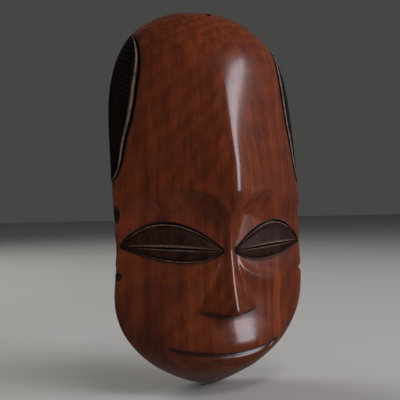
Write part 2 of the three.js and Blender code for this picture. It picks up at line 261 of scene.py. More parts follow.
def skin_point(girth, z, lift=0.0):
    """girth runs 0 to 1 from the middle to the edge line, then to 2 at the rim."""
    girth, z, lift = np.broadcast_arrays(girth, z, lift)
    wall = np.maximum(girth - 1, 0)
    reach = half_width(z) * np.sin(np.minimum(girth, 1) * math.pi / 2)
    shrink_x, shrink_z = drawn_in(z, wall)
    depth = np.where(girth <= 1, face_skin(reach, z), edge_depth(z) * (1 - wall))
    out_x, out_d = reach * shrink_x - CORE_SHARE * half_width(z), depth
    length = np.hypot(out_x, out_d)
    return np.stack(
        [reach * shrink_x + out_x / length * lift, depth + out_d / length * lift, z * shrink_z], -1
    )


# ---- meshes --------------------------------------------------------------------------------------
def to_frame(points, side=1):
    """Millimetres (x, depth, z) of the skin to metres in the frame."""
    p = np.asarray(points, float)
    return np.stack([side * p[..., 0] * MM, WALL_Y - p[..., 1] * MM, MIDDLE_Z + p[..., 2] * MM], -1)


def make_object(name, points, faces, side=1):
    mesh = bpy.data.meshes.new(name)
    if side < 0:
        faces = [tuple(reversed(f)) for f in faces]
    mesh.from_pydata(to_frame(points, side).tolist(), [], faces)
    mesh.update()
    mesh.shade_smooth()
    obj = bpy.data.objects.new(name, mesh)
    bpy.context.scene.collection.objects.link(obj)
    return obj


def grid_faces(rows, columns, start=0):
    """Quads over a grid whose rows go up and columns go right, seen from the front."""
    r, c = np.meshgrid(np.arange(rows - 1), np.arange(columns - 1), indexing="ij")
    a = (start + r * columns + c).ravel()
    return np.stack([a, a + 1, a + columns + 1, a + columns], -1).tolist()


def grid_border(rows, columns):
    """The border of such a grid, anticlockwise as seen from the front."""
    bottom = np.arange(columns)
    right = np.arange(1, rows) * columns + columns - 1
    top = (rows - 1) * columns + np.arange(columns - 2, -1, -1)
    left = np.arange(rows - 2, 0, -1) * columns
    return np.concatenate([bottom, right, top, left])


def ring_faces(outer, inner):
    """Quads between two closed rings of the same count; outer is nearer the front."""
    nxt = np.roll(np.arange(len(outer)), -1)
    outer, inner = np.asarray(outer), np.asarray(inner)
    return np.stack([outer, inner, inner[nxt], outer[nxt]], -1).tolist()


def slab(front, back):
    """A closed piece between two grids of points with the same shape."""
    rows, columns = front.shape[:2]
    border = grid_border(rows, columns)
    points = np.concatenate([front.reshape(-1, 3), back.reshape(-1, 3)])
    behind = [f[::-1] for f in grid_faces(rows, columns, rows * columns)]
    return points, grid_faces(rows, columns) + behind + ring_faces(border, border + rows * columns)


def zip_rings(outer, outer_share, inner, inner_share):
    """Triangles between two closed rings of different counts, matched by share of the way round."""
    faces, i, j = [], 0, 0
    outer_share = np.append(outer_share, 1.0)
    inner_share = np.append(inner_share, 1.0)
    n, m = len(outer), len(inner)
    while i < n or j < m:
        a, b = int(outer[i % n]), int(inner[j % m])
        if j == m or (i < n and outer_share[i + 1] <= inner_share[j + 1]):
            faces.append((a, b, int(outer[(i + 1) % n])))
            i += 1
        else:
            faces.append((a, b, int(inner[(j + 1) % m])))
            j += 1
    return faces


# ---- the carved block ----------------------------------------------------------------------------
BLOCK_ROWS, BLOCK_COLUMNS, WALL_RINGS = 288, 212, 9
HOLLOW_POINTS, HOLLOW_RINGS = 280, 30
BEHIND_WALL = 3.0  # how far past the wall plane the side walls are aimed
HOLLOW_FULL, HOLLOW_ROUND = 2.2, 0.6
GOUGE_WIDTH, GOUGE_LENGTH = 11.5, 30
SCATTER_STEP, SCATTER_SIZE = 12.9898, 43758.5453  # turn a whole number into an uneven share
row_height = profile([
    (0, CHIN + END_TRIM), (0.05, -145), (0.14, -128), (0.31, -106), (0.35, -96), (0.43, -84),
    (0.58, -46), (0.78, 8), (0.90, 80), (0.97, 140), (1, CROWN - END_TRIM),
])
hollow_depth = profile([
    (CHIN, 0), (-140, 12), (-120, 28), (-100, 36), (-60, 40), (0, 40), (40, 44), (80, 38),
    (115, 27), (140, 12), (CROWN, 0),
])


def block_grid():
    """(x, z) of the front grid: its rows bend to follow the mouth and the foot of the nose."""
    z = row_height(np.linspace(0, 1, BLOCK_ROWS))[:, None]
    u = np.linspace(-1, 1, BLOCK_COLUMNS)[None, :]
    share = 0.55 * u + 0.45 * np.sin(u * math.pi / 2)
    x = share * half_width(z)
    near_mouth = smoothstep(-132, -121, z) * (1 - smoothstep(-115, -101, z))
    near_nose = smoothstep(-103, -92, z) * (1 - smoothstep(-86, -72, z))
    z = z + MOUTH_LIFT * np.minimum((x / MOUTH_HALF) ** 2, 1) * near_mouth
    z = z + NOSE_LIFT * np.minimum(np.abs(x) / NOSE_WING, 1) ** NOSE_BASE_CURVE * near_nose
    return share * half_width(z), z


def hollow_outline():
    """The edge of the hollow on the wall plane, from the bottom up the right side and round."""
    z = np.linspace(CHIN + END_TRIM, CROWN - END_TRIM, 400)
    shrink_x, shrink_z = drawn_in(z, 1.0)
    x_in = half_width(z) * (shrink_x - RIM_WIDTH / HALF_WIDTH)
    z_in = z * (shrink_z - RIM_WIDTH / CROWN)
    ring = np.concatenate([np.stack([x_in, z_in], -1), np.stack([-x_in, z_in], -1)[::-1]])
    return ring, z_in, z


def resample(ring, count):
    closed = np.concatenate([ring, ring[:1]])
    run = np.concatenate([[0], np.cumsum(np.hypot(*np.diff(closed, axis=0).T))])
    at = np.linspace(0, run[-1], count, endpoint=False)
    return np.stack([np.interp(at, run, closed[:, k]) for k in (0, 1)], -1)


def gouge_marks(x, z):
    """Shallow scoops left by a gouge, in columns that start at uneven heights."""
    column = np.floor(x / GOUGE_WIDTH)
    shift = GOUGE_LENGTH * np.mod(np.sin(column * SCATTER_STEP) * SCATTER_SIZE, 1.0)
    u = np.mod(x / GOUGE_WIDTH, 1.0) - 0.5
    v = np.mod((z + shift + 2.0 * np.sin(x / 17.0)) / GOUGE_LENGTH, 1.0) - 0.5
    return 0.5 - 1.6 * u**2 - 0.9 * v**2


def hollow_point(x, z, z_in, z_out):
    source = np.interp(z, z_in, z_out)
    reach = half_width(source) * (drawn_in(source, 1.0)[0] - RIM_WIDTH / HALF_WIDTH)
    share = np.clip(np.abs(x) / np.maximum(reach, 1e-3), 0, 1)
    dome = hollow_depth(source) * (1 - share**HOLLOW_FULL) ** HOLLOW_ROUND
    return dome + gouge_marks(x, z) * smoothstep(3, 12, dome)


def block_mesh():
    x, z = block_grid()
    depth = face_skin(x, z)
    points = [np.stack([x, depth, z], -1).reshape(-1, 3)]
    faces = grid_faces(BLOCK_ROWS, BLOCK_COLUMNS)
    border = grid_border(BLOCK_ROWS, BLOCK_COLUMNS)
    edge = points[0][border]
    last, count = border, BLOCK_ROWS * BLOCK_COLUMNS
    end = edge[:, 1] / (edge[:, 1] + BEHIND_WALL)
    for ring in range(1, WALL_RINGS + 1):
        wall = end * ring / WALL_RINGS
        shrink_x, shrink_z = drawn_in(edge[:, 2], wall)
        d = edge[:, 1] * (1 - wall) - BEHIND_WALL * wall
        points.append(np.stack([edge[:, 0] * shrink_x, d, edge[:, 2] * shrink_z], -1))
        this = count + np.arange(len(edge))
        faces += ring_faces(last, this)
        last, count = this, count + len(edge)
    rim = points[-1]
    outline, z_in, z_out = hollow_outline()
    inner = resample(outline, HOLLOW_POINTS)
    rim_angle = np.arctan2(rim[:, 2], rim[:, 0])
    inner_angle = np.arctan2(inner[:, 1], inner[:, 0])
    start = rim_angle[0]
    rim_share = np.mod(rim_angle - start, 2 * math.pi) / (2 * math.pi)
    turned = np.mod(inner_angle - start, 2 * math.pi) / (2 * math.pi)
    first = int(np.argmin(turned))
    inner, turned = np.roll(inner, -first, axis=0), np.roll(turned, -first)
    points.append(np.stack([inner[:, 0], 0 * inner[:, 0], inner[:, 1]], -1))
    this = count + np.arange(HOLLOW_POINTS)
    faces += zip_rings(last, rim_share, this, turned)
    last, count = this, count + HOLLOW_POINTS
    for ring in range(1, HOLLOW_RINGS):
        share = 1 - ring / HOLLOW_RINGS
        share = math.sin(share * math.pi / 2) if ring < HOLLOW_RINGS / 2 else share**0.85
        here = inner * share
        d = hollow_point(here[:, 0], here[:, 1], z_in, z_out)
        points.append(np.stack([here[:, 0], d, here[:, 1]], -1))
        this = count + np.arange(HOLLOW_POINTS)
        faces += ring_faces(last, this)
        last, count = this, count + HOLLOW_POINTS
    points.append(np.array([[0.0, float(hollow_point(0.0, 0.0, z_in, z_out)), 0.0]]))
    nxt = np.roll(last, -1)
    faces += [(int(a), count, int(b)) for a, b in zip(last, nxt)]
    return np.concatenate(points), [tuple(int(i) for i in f) for f in faces]


def without_cuts(obj, cutters):
    """The object with each cutter taken away, one after another."""
    for cutter in cutters:
        step = obj.modifiers.new("cut", "BOOLEAN")
        step.operation = "DIFFERENCE"
        step.solver = "MANIFOLD"
        step.object = cutter
    bpy.context.view_layer.update()
    whole = obj.evaluated_get(bpy.context.evaluated_depsgraph_get())
    mesh = bpy.data.meshes.new_from_object(whole)
    mesh.materials.clear()
    obj.modifiers.clear()
    obj.data = mesh
    for cutter in cutters:
        bpy.data.objects.remove(cutter)
    return obj


def set_values(obj, name, values):
    layer = obj.data.attributes.new(name, "FLOAT", "POINT")
    layer.data.foreach_set("value", np.asarray(values, dtype=np.float32).ravel())


def points_mm(obj):
    """(x, depth, z) of a finished mesh, in the millimetres of the skin."""
    p = np.empty(3 * len(obj.data.vertices), dtype=np.float32)
    obj.data.vertices.foreach_get("co", p)
    p = p.reshape(-1, 3).astype(float)
    return p[:, 0] / MM, (WALL_Y - p[:, 1]) / MM, (p[:, 2] - MIDDLE_Z) / MM


# ---- eyes ----------------------------------------------------------------------------------------
LID_COLUMNS, LID_ROWS = 240, 40
SLIT_GAP, LID_TIP = 0.3, 0.5
GROOVE_ABOVE, GROOVE_BELOW, GROOVE_ENDS = 2.3, 0.8, 0.8
LID_SINK, LID_TIP_SINK, LID_BED = 2.2, 1.2, 0.3
LID_CUTTER_PROUD = 6


def arch(t, peak):
    t = np.clip(t, 0, 1)
    return (t / peak) ** (peak * LENS_FULLNESS) * ((1 - t) / (1 - peak)) ** (
        (1 - peak) * LENS_FULLNESS
    )


def close_at_ends(count):
    """Shares from 0 to 1 across the eye, closer together towards its corners."""
    return (0.5 - 0.5 * np.cos(np.linspace(0, math.pi, count)))[None, :]


def slit_height(t):
    return mix(EYE_INNER_Z, EYE_OUTER_Z, t)


def lid_shape(t, v, bulge):
    """Height over the skin: a bead at the rim, a shallow channel, then a swell to the slit."""
    size = np.sqrt(arch(t, 0.5))
    bead = 0.7 * bell(v - 0.972, 0.022) * (0.35 + 0.65 * size)
    channel = -1.1 * size * bell(v - 0.88, 0.09)
    swell = bulge * size * (1 - v**1.5) * smoothstep(-0.02, 0.09, v)
    brink = 0.45 * size * bell(v - 0.085, 0.035)
    return INLAY_PROUD + bead + channel + swell + brink - 1.5 * size * bell(v, 0.03)


def hatch(along, v, slant):
    """Short chisel strokes that run in from a lid's rim."""
    phase = np.mod(along / 2.3 + slant * v + 0.35 * np.sin(along * 0.61), 1.0) - 0.5
    reach = 0.42 + 0.12 * np.sin(along * 1.7) * np.sin(along * 0.37)
    return bell(phase, 0.17) * smoothstep(reach - 0.1, reach + 0.12, v) * (
        1 - smoothstep(0.86, 0.92, v)
    )


def eyelid(name, side, lid_side, height_mm, peak, bulge):
    t = close_at_ends(LID_COLUMNS)
    v = (1 - np.linspace(1, 0, LID_ROWS) ** 1.35)[:, None]
    v = v if lid_side > 0 else v[::-1]
    x = mix(EYE_INNER, EYE_OUTER, t) + 0 * v
    height = height_mm * arch(t, peak) + LID_TIP
    z = slit_height(t) + lid_side * (SLIT_GAP / 2 + height * v)
    size = np.sqrt(arch(t, 0.5))
    stroke = hatch(x, v, lid_side * 2.2) * size
    lift = lid_shape(t, v, bulge) - 0.12 * stroke
    skin = face_skin(x, z)
    front = np.stack([x, skin + lift, z], -1)
    back = np.stack([x, skin - LID_SINK * size - LID_TIP_SINK, z], -1)
    obj = make_object(name, *slab(front, back), side=side)
    # Lighter rim bead and slit edge: wear through the dark finish, also a painted highlight.
    bead = bell(v - 0.975, 0.015) + 0 * t
    brink = 0.6 * bell(v - 0.085, 0.04) * size
    set_values(obj, "worn_and_highlit", np.concatenate([(bead + brink).ravel(), np.zeros(x.size)]))
    set_values(obj, "cut", np.concatenate([0.4 * stroke.ravel(), np.ones(x.size)]))
    return obj


def eye_pocket(side):
    t = close_at_ends(160)
    v = np.linspace(-1, 1, 41)[:, None]
    upper = UPPER_ARCH * arch(t, UPPER_PEAK) + LID_TIP + GROOVE_ABOVE * (0.35 + 0.65 * arch(t, 0.5))
    lower = LOWER_ARCH * arch(t, LOWER_PEAK) + LID_TIP + GROOVE_BELOW
    x = mix(EYE_INNER - GROOVE_ENDS, EYE_OUTER + GROOVE_ENDS, t) + 0 * v
    z = slit_height(t) + np.where(v > 0, upper * v, lower * v)
    skin = face_skin(x, z)
    size = np.sqrt(arch(t, 0.5))
    front = np.stack([x, skin + LID_CUTTER_PROUD, z], -1)
    back = np.stack([x, skin - LID_SINK * size - LID_TIP_SINK - LID_BED, z], -1)
    return make_object(f"eye_pocket_{side}", *slab(front, back), side=side)


# ---- hair panels ---------------------------------------------------------------------------------
PANEL_COLUMNS, PANEL_ROWS, PANEL_CUTS = 80, 400, 46
PANEL_SLANT, PANEL_SINK, PANEL_BED, PANEL_GROOVE = 55.0, 3.4, 0.4, 0.55
PANEL_FRONT_MARGIN, PANEL_REAR_MARGIN, PANEL_FRONT_GROW, PANEL_REAR_GROW = 0.01, 0.02, 0.04, 0.07
panel_front = profile([
    (14, 1), (19, 0.971), (28, 0.937), (39, 0.915), (50, 0.886), (62, 0.852), (78, 0.829),
    (92, 0.826), (104, 0.838), (114, 0.878), (123, 0.947), (128, 1),
])


def panel_point(u, v, lift, grow=0.0):
    """u runs from the front line to the rear one; the rows climb towards the rear."""
    z = mix(PANEL_LOW - grow, PANEL_HIGH + grow, v)
    z = z + PANEL_SLANT * (u - 0.5) * np.sin(math.pi * v)
    low_to_high = np.clip((z - PANEL_LOW) / (PANEL_HIGH - PANEL_LOW), 0, 1)
    front = np.arcsin(np.minimum(panel_front(z), 1)) * 2 / math.pi
    rear = 1 + PANEL_REAR * np.sqrt(np.sin(math.pi * low_to_high))
    first = front - PANEL_FRONT_MARGIN - grow * PANEL_FRONT_GROW
    last = rear + PANEL_REAR_MARGIN + grow * PANEL_REAR_GROW
    return skin_point(mix(first, last, u), z, lift)


def panel_cuts(u, v):
    """V-shaped cuts along the rows, a little uneven, between the two plain rims."""
    inside = smoothstep(0.055, 0.085, u) * (1 - smoothstep(0.92, 0.97, u))
    inside = inside * smoothstep(0.0, 0.03, v) * (1 - smoothstep(0.97, 1.0, v))
    uneven = 0.16 * np.sin(39.0 * v) + 0.10 * np.sin(7.0 * u + 97 * v)
    phase = np.mod(PANEL_CUTS * v + uneven, 1.0)
    return inside * (1 - np.abs(2 * phase - 1)) ** 1.2


def hair_panel(name, side):
    u = (np.linspace(0, 1, PANEL_COLUMNS) ** 1.5)[None, :]
    v = np.linspace(0, 1, PANEL_ROWS)[:, None]
    cut = panel_cuts(u, v)
    bead = bell(u - 0.020, 0.012) + 0 * v
    rear_rim = bell(u - 0.985, 0.02)
    lift = INLAY_PROUD + 0.60 * bead - 0.62 * cut + 0.35 * rear_rim
    front = panel_point(u, v, lift)
    back = panel_point(u, v, 0 * lift - PANEL_SINK)
    obj = make_object(name, *slab(front, back), side=side)
    # Lighter front rim and tops between the cuts: wear, also a painted highlight.
    worn_and_highlit = bead + 0.04 * bell(cut, 0.25) * smoothstep(0.1, 0.2, u)
    set_values(obj, "worn_and_highlit", np.concatenate([worn_and_highlit.ravel(), np.zeros(cut.size)]))
    set_values(obj, "cut", np.concatenate([cut.ravel(), np.ones(cut.size)]))
    return obj


def panel_pocket(side):
    u = np.linspace(0, 1, 24)[None, :]
    v = np.linspace(0, 1, 120)[:, None]
    front = panel_point(u, v, CUTTER_PROUD + 0 * u * v, PANEL_GROOVE)
    back = panel_point(u, v, -PANEL_SINK - PANEL_BED + 0 * u * v, PANEL_GROOVE)
    return make_object(f"panel_pocket_{side}", *slab(front, back), side=side)


# ---- ears ----------------------------------------------------------------------------------------
EAR_SINK, EAR_BED, EAR_GROOVE = 3.0, 0.3, 0.5
EAR_MARGIN, EAR_GROW = 0.03, 0.05


def ear_point(u, v, lift, grow=0.0):
    z = mix(EAR_LOW - grow, EAR_HIGH + grow, v)
    reach = EAR_REACH * np.sqrt(np.sin(math.pi * v)) + EAR_MARGIN + grow * EAR_GROW
    return skin_point(EAR_MIDDLE + (2 * u - 1) * reach, z, lift)


def ear(name, side):
    u = np.linspace(0, 1, 90)[None, :]
    v = np.linspace(0, 1, 130)[:, None]
    across = (2 * u - 1) * np.sqrt(np.sin(math.pi * v))
    up = 2 * v - 1 + 0 * u
    out = np.hypot(across, up)
    open_front = bell(across + 0.85, 0.35) * bell(up + 0.1, 0.3)
    helix = bell(out - 0.84, 0.11) * (1 - 0.8 * open_front)
    inner = bell(np.hypot(across + 0.18, up + 0.12) - 0.52, 0.09) * smoothstep(-0.1, 0.25, across)
    bowl = bell(np.hypot(across + 0.12, 0.8 * (up + 0.08)), 0.36)
    tragus = bell(np.hypot(across + 0.72, up + 0.1), 0.17)
    lobe = bell(np.hypot(across + 0.15, up + 0.78), 0.25)
    lift = INLAY_PROUD + 1.05 * helix + 0.65 * inner - 2.1 * bowl + 0.8 * tragus + 0.5 * lobe
    front = ear_point(u, v, lift)
    back = ear_point(u, v, 0 * lift - EAR_SINK)
    obj = make_object(name, *slab(front, back), side=side)
    # painted shade in the ear's bowl and grooves
    shade = np.clip(1.1 * bowl + 0.7 * bell(out - 0.66, 0.07) + 0.9 * bell(out - 1.0, 0.05), 0, 1)
    set_values(obj, "painted_shade", np.concatenate([shade.ravel(), np.ones(lift.size)]))
    set_values(obj, "stain_and_shade", np.zeros(2 * lift.size))
    set_values(obj, "rough_cut", np.zeros(2 * lift.size))
    return obj


def ear_pocket(side):
    u = np.linspace(0, 1, 40)[None, :]
    v = np.linspace(0, 1, 60)[:, None]
    front = ear_point(u, v, CUTTER_PROUD + 0 * u * v, EAR_GROOVE)
    back = ear_point(u, v, -EAR_SINK - EAR_BED + 0 * u * v, EAR_GROOVE)
    return make_object(f"ear_pocket_{side}", *slab(front, back), side=side)


# ---- notches and the bore ------------------------------------------------------------------------
def ball(name, size, tilt, spot, side):
    """An ellipsoid, tilted about the depth axis, centred on a point of the skin."""
    rows, columns = 24, 40
    up = np.linspace(-math.pi / 2, math.pi / 2, rows)[1:-1, None]
    round_ = np.linspace(0, 2 * math.pi, columns, endpoint=False)[None, :]
    x = size[0] * np.cos(up) * np.cos(round_)
    d = size[1] * np.cos(up) * np.sin(round_)
    z = size[2] * np.sin(up) + 0 * round_
    rings = np.stack([x, d, z], -1).reshape(-1, 3)
    poles = np.array([[0, 0, -size[2]], [0, 0, size[2]]], float)
    p = np.concatenate([rings, poles])
    c, s = math.cos(tilt), math.sin(tilt)
    p = np.stack([c * p[:, 0] + s * p[:, 2], p[:, 1], -s * p[:, 0] + c * p[:, 2]], -1) + spot
    faces = []
    for r in range(rows - 3):
        for k in range(columns):
            a, b = r * columns + k, r * columns + (k + 1) % columns
            faces.append((a, a + columns, b + columns, b))
    south, north, top = len(rings), len(rings) + 1, (rows - 3) * columns
    for k in range(columns):
        b = (k + 1) % columns
        faces += [(k, b, south), (top + b, top + k, north)]
    return make_object(name, p, faces, side=side)


def notch_cutters():
    for z, girth, size, tilt in NOTCHES:
        spot = skin_point(girth, z)
        for side in (1, -1):
            yield ball(f"notch_{z}_{side}", size, tilt, spot, side)


def bore_cutter():
    count = BORE_SIDES
    angle = np.linspace(0, 2 * math.pi, count, endpoint=False)[:, None]
    along = np.array([0, math.cos(BORE_TILT), math.sin(BORE_TILT)])
    across = np.array([0, -math.sin(BORE_TILT), math.cos(BORE_TILT)])
    circle = np.cos(angle) * np.array([1.0, 0, 0]) + np.sin(angle) * across
    ring = np.array([0, BORE_DEPTH, BORE_Z]) + BORE_RADIUS * circle
    points = np.concatenate([ring - BORE_HALF_LENGTH * along, ring + BORE_HALF_LENGTH * along])
    faces = [(k, (k + 1) % count, count + (k + 1) % count, count + k) for k in range(count)]
    faces += [tuple(range(count - 1, -1, -1)), tuple(range(count, 2 * count))]
    return make_object("bore", points, faces)


# ---- dark staining and painted shade on the block ------------------------------------------------
FAR = 99.0
BED_NEAR, BED_FAR = 0.7, 1.1  # how close to a panel's bed the wood is darkened with staining and painted shade, then clean
FACE_THICKNESS = 6  # wood deeper than this under the skin belongs to the hollow
RIM_FACE_DEPTH = 0.6  # the rim is the wood this close to the wall plane


def eye_distance(x, z):
    """Roughly how many millimetres a point lies outside the eye's lens; negative inside it."""
    out = np.abs(x)
    t = (out - EYE_INNER) / (EYE_OUTER - EYE_INNER)
    inside = np.clip(t, 0, 1)
    slit = slit_height(inside)
    above = (z - slit) - UPPER_ARCH * arch(inside, UPPER_PEAK) - LID_TIP
    below = (slit - z) - LOWER_ARCH * arch(inside, LOWER_PEAK) - LID_TIP
    ends = np.maximum(EYE_INNER - out, out - EYE_OUTER)
    return np.maximum(np.maximum(above, below), ends)


def panel_bed_points():
    """Points (x, depth, z) over the floor and the edges of the bed that a hair panel lies in."""
    along, up = np.linspace(0, 1, 40), np.linspace(0, 1, 160)
    u, v = np.meshgrid(along, up)
    floor_points = panel_point(u, v, 0 * u - PANEL_SINK - PANEL_BED, PANEL_GROOVE)
    rim_u = np.concatenate([along, np.ones(160), np.linspace(1, 0, 40), np.zeros(160)])
    rim_v = np.concatenate([np.zeros(40), up, np.ones(40), np.linspace(1, 0, 160)])
    edges = [
        panel_point(rim_u, rim_v, 0 * rim_u + lift, PANEL_GROOVE)
        for lift in np.linspace(-PANEL_SINK, -0.3, 6)
    ]
    return np.concatenate([floor_points.reshape(-1, 3)] + [edge.reshape(-1, 3) for edge in edges])


def distance_to(points, x, depth, z, wanted):
    """Distance in mm from each wanted vertex to the nearest of some points; far for the rest."""
    tree = KDTree(len(points))
    for index, point in enumerate(points):
        tree.insert(point, index)
    tree.balance()
    away = np.full(x.shape, FAR)
    for index in np.flatnonzero(wanted):
        away[index] = tree.find((x[index], depth[index], z[index]))[2]
    return away


# Painted shade inside the notches.
def notch_shade(x, depth, z):
    stain_and_shade = 0 * x
    for height, girth, size, _ in NOTCHES:
        spot = skin_point(girth, height)
        for side in (1, -1):
            away = np.sqrt(
                ((x - side * spot[0]) / (size[0] + 1)) ** 2
                + ((depth - spot[1]) / (size[1] + 1)) ** 2
                + ((z - spot[2]) / (size[2] + 1)) ** 2
            )
            stain_and_shade = np.maximum(stain_and_shade, 1 - smoothstep(0.80, 1.04, away))
    return stain_and_shade


# Painted shade inside the hanging bore.
def bore_shade(x, depth, z):
    off_axis = (depth - BORE_DEPTH) * math.sin(BORE_TILT) - (z - BORE_Z) * math.cos(BORE_TILT)
    stain_and_shade = 1 - smoothstep(BORE_RADIUS - 0.1, BORE_RADIUS + 0.5, np.hypot(x, off_axis))
    return stain_and_shade * (z > 125)


def crease_shade(x, depth, z, near_eye, panel_band):
    """Painted shade in the mouth, under the nose, round the eyes and in their inner corners, beside
    the hair panels and on the side walls.
    """
    taper = np.sqrt(np.clip(1 - (x / (MOUTH_HALF + 1)) ** 2, 0, 1))
    over_mouth = z - mouth_line(x)
    mouth = bell(over_mouth / np.where(over_mouth > 0, 1.6, 3.2), 1.0) * smoothstep(0, 0.25, taper)
    lip = 0.35 * bell(over_mouth + LIP_DROP * taper**2, 1.6) * taper
    on_nose = 1 - smoothstep(NOSE_WING - 3, NOSE_WING + 2, np.abs(x))
    under_nose = bell(z - nose_base(x) + 0.4, 1.5) * on_nose
    round_eye = 0.75 * bell(np.maximum(near_eye - 1.4, 0), 1.3) * (near_eye > -2)
    inner_corner = 0.4 * bell(np.hypot(np.abs(x) - 7, (z + 36) * 0.8), 6)
    share = np.abs(x) / np.maximum(half_width(z), 1)
    by_panel = 0.6 * bell((share - panel_front(z) + 0.012) * 82, 1.1) * panel_band * (depth > 8)
    edge_wall = 0.35 * smoothstep(0.985, 1.0, share) * (depth > 1)
    return np.maximum.reduce([mouth, lip, under_nose, round_eye, inner_corner, by_panel, edge_wall])


def within_rim(x, z):
    """Whether a point lies inside the middle line of the rim, seen from behind."""
    shrink_x, shrink_z = drawn_in(z, 1.0)
    rim_middle = half_width(np.clip(z / shrink_z, CHIN, CROWN)) * shrink_x - RIM_WIDTH / 2
    rim_top = CROWN * drawn_in(CROWN, 1.0)[1] - RIM_WIDTH / 2
    rim_bottom = CHIN * drawn_in(CHIN, 1.0)[1] + RIM_WIDTH / 2
    return (np.abs(x) < rim_middle) & (z < rim_top) & (z > rim_bottom)


def shade_block(obj):
    x, depth, z = points_mm(obj)
    under = face_skin(x, z) - depth
    near_eye = eye_distance(x, z)
    # The walls of the eye grooves are darkened: dark staining, and painted shade in the groove.
    pocket = smoothstep(0.25, 0.7, under) * (near_eye < 3.2) * (under < FACE_THICKNESS)
    panel_band = (z > PANEL_LOW - 4) & (z < PANEL_HIGH + 3)
    bed_gap = distance_to(panel_bed_points(), np.abs(x), depth, z, panel_band & (np.abs(x) > 40))
    # The bed of each hair panel too: dark staining, and painted shade in the gap.
    panel_bed = 1 - smoothstep(BED_NEAR, BED_FAR, bed_gap)
    drilled = np.maximum(notch_shade(x, depth, z), bore_shade(x, depth, z))
    stain_and_shade = np.maximum.reduce([pocket, panel_bed, drilled])
    hollow = within_rim(x, z) & (under > FACE_THICKNESS) & (stain_and_shade < 0.5)
    behind = (depth < RIM_FACE_DEPTH) | hollow
    # painted shade in the creases and grooves and on the side walls, kept off the back
    painted_shade = np.clip(crease_shade(x, depth, z, near_eye, panel_band), 0, 1)
    set_values(obj, "stain_and_shade", stain_and_shade)
    set_values(obj, "painted_shade", painted_shade * (1 - behind))
    set_values(obj, "rough_cut", behind.astype(float))


# ---- materials -----------------------------------------------------------------------------------
WOOD_DARK, WOOD_LIGHT = (0.080, 0.0125, 0.0034), (0.265, 0.0500, 0.0105)
# The second colour on the next line is the painted shade for creases and grooves.
WOOD_PORE, SHADE_COLOUR = (0.045, 0.0120, 0.0070), (0.016, 0.0065, 0.0045)
# The first colour on the next line darkens grooves and holes: dark staining with painted shade.
DARK_STAIN_AND_SHADE, CUT_SHADOW = (0.010, 0.0060, 0.0050), (0.006, 0.0045, 0.0042)
RAW_DARK, RAW_LIGHT = (0.125, 0.048, 0.022), (0.290, 0.130, 0.062)
RAW_PORE, RAW_TORN = (0.060, 0.024, 0.012), (0.085, 0.036, 0.018)
LID_DARK, LID_LIGHT = (0.0120, 0.0046, 0.0034), (0.0480, 0.0160, 0.0080)
HAIR_DARK, HAIR_LIGHT = (0.0065, 0.0040, 0.0036), (0.0190, 0.0095, 0.0075)
# The two rim colours on the next line stand for wear and also a painted highlight.
LID_WORN_HIGHLIGHT, HAIR_WORN_HIGHLIGHT = (0.46, 0.29, 0.23), (0.40, 0.25, 0.20)
FLOOR_DARK, FLOOR_LIGHT = (0.54, 0.54, 0.52), (0.60, 0.60, 0.58)
LID_ROUGHNESS, HAIR_ROUGHNESS = 0.38, 0.34


class Nodes:
    """Short calls for building a material's node tree."""

    def __init__(self, name):
        self.material = bpy.data.materials.new(name)
        self.material.use_nodes = True
        self.tree = self.material.node_tree
        self.tree.nodes.clear()
        self.shader = self.add("ShaderNodeBsdfPrincipled")
        out = self.add("ShaderNodeOutputMaterial")
        self.join(self.shader.outputs[0], out.inputs["Surface"])
        self.place = self.add("ShaderNodeTexCoord").outputs["Object"]

    def add(self, kind, **settings):
        node = self.tree.nodes.new(kind)
        for key, value in settings.items():
            setattr(node, key, value)
        return node

    def join(self, source, socket):
        if isinstance(source, (int, float, tuple)):
            socket.default_value = source
        else:
            self.tree.links.new(source, socket)

    def stretched(self, scale):
        node = self.add("ShaderNodeMapping")
        self.join(self.place, node.inputs["Vector"])
        node.inputs["Scale"].default_value = scale
        return node.outputs[0]

    def noise(self, scale, detail, roughness=0.5, distortion=0.0):
        """Noise whose scale along x, y and z is given per metre."""
        node = self.add("ShaderNodeTexNoise")
        self.join(self.stretched(scale), node.inputs["Vector"])
        node.inputs["Scale"].default_value = 1.0
        node.inputs["Detail"].default_value = detail
        node.inputs["Roughness"].default_value = roughness
        node.inputs["Distortion"].default_value = distortion
        return node.outputs["Fac"]

    def math(self, operation, a, b=0.0, c=0.0, clamp=False):
        node = self.add("ShaderNodeMath", operation=operation, use_clamp=clamp)
        for socket, source in zip(node.inputs, (a, b, c)):
            self.join(source, socket)
        return node.outputs[0]

    def ramp(self, source, low, high, from_value=0.0, to_value=1.0):
        node = self.add("ShaderNodeMapRange", interpolation_type="SMOOTHSTEP")
        self.join(source, node.inputs["Value"])
        limits = {"From Min": low, "From Max": high, "To Min": from_value, "To Max": to_value}
        for key, value in limits.items():
            node.inputs[key].default_value = value
        return node.outputs["Result"]

    def value(self, name):
        return self.add("ShaderNodeAttribute", attribute_name=name).outputs["Fac"]

    def blend(self, a, b, factor):
        node = self.add("ShaderNodeMix", data_type="RGBA", blend_type="MIX")
        self.join(factor, node.inputs[0])
        for source, socket in ((a, node.inputs[6]), (b, node.inputs[7])):
            self.join((*source, 1.0) if isinstance(source, tuple) else source, socket)
        return node.outputs[2]

    def bump(self, height, strength, distance):
        node = self.add("ShaderNodeBump")
        node.inputs["Strength"].default_value = strength
        node.inputs["Distance"].default_value = distance
        self.join(height, node.inputs["Height"])
        self.join(node.outputs[0], self.shader.inputs["Normal"])

    def finish(self, colour, roughness, coat=0.0, coat_roughness=0.2, specular=0.5):
        self.join(colour, self.shader.inputs["Base Color"])
        self.join(roughness, self.shader.inputs["Roughness"])
        self.shader.inputs["Coat Weight"].default_value = coat
        self.shader.inputs["Coat Roughness"].default_value = coat_roughness
        self.shader.inputs["Specular IOR Level"].default_value = specular
        return self.material


